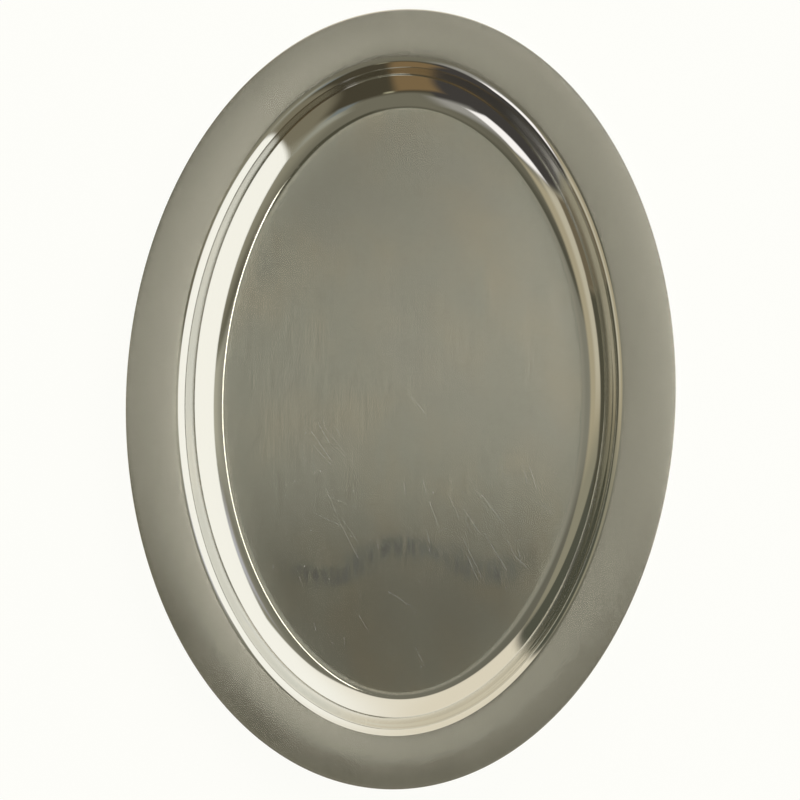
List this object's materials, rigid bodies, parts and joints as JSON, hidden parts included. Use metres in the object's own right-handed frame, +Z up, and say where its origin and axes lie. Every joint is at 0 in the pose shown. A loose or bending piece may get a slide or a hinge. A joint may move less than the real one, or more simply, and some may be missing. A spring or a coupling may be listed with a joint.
{
  "type": "serving tray",
  "caption": "Oval serving tray pressed from one steel sheet, with a wide satin rim, a polished sloping wall and a flat satin floor.",
  "frame": {"origin": "on the surface the tray stands on, under the centre of the oval", "axes": "+Z up, +Y along the long axis, +X across the tray"},
  "size_m": [0.314, 0.45, 0.0201],
  "materials": {
    "stainless_steel": "satin brushed along the long axis on floor and rim, polished on the wall between them"
  },
  "bodies": {
    "root": {"tray": "stainless_steel"}
  },
  "joints": []
}
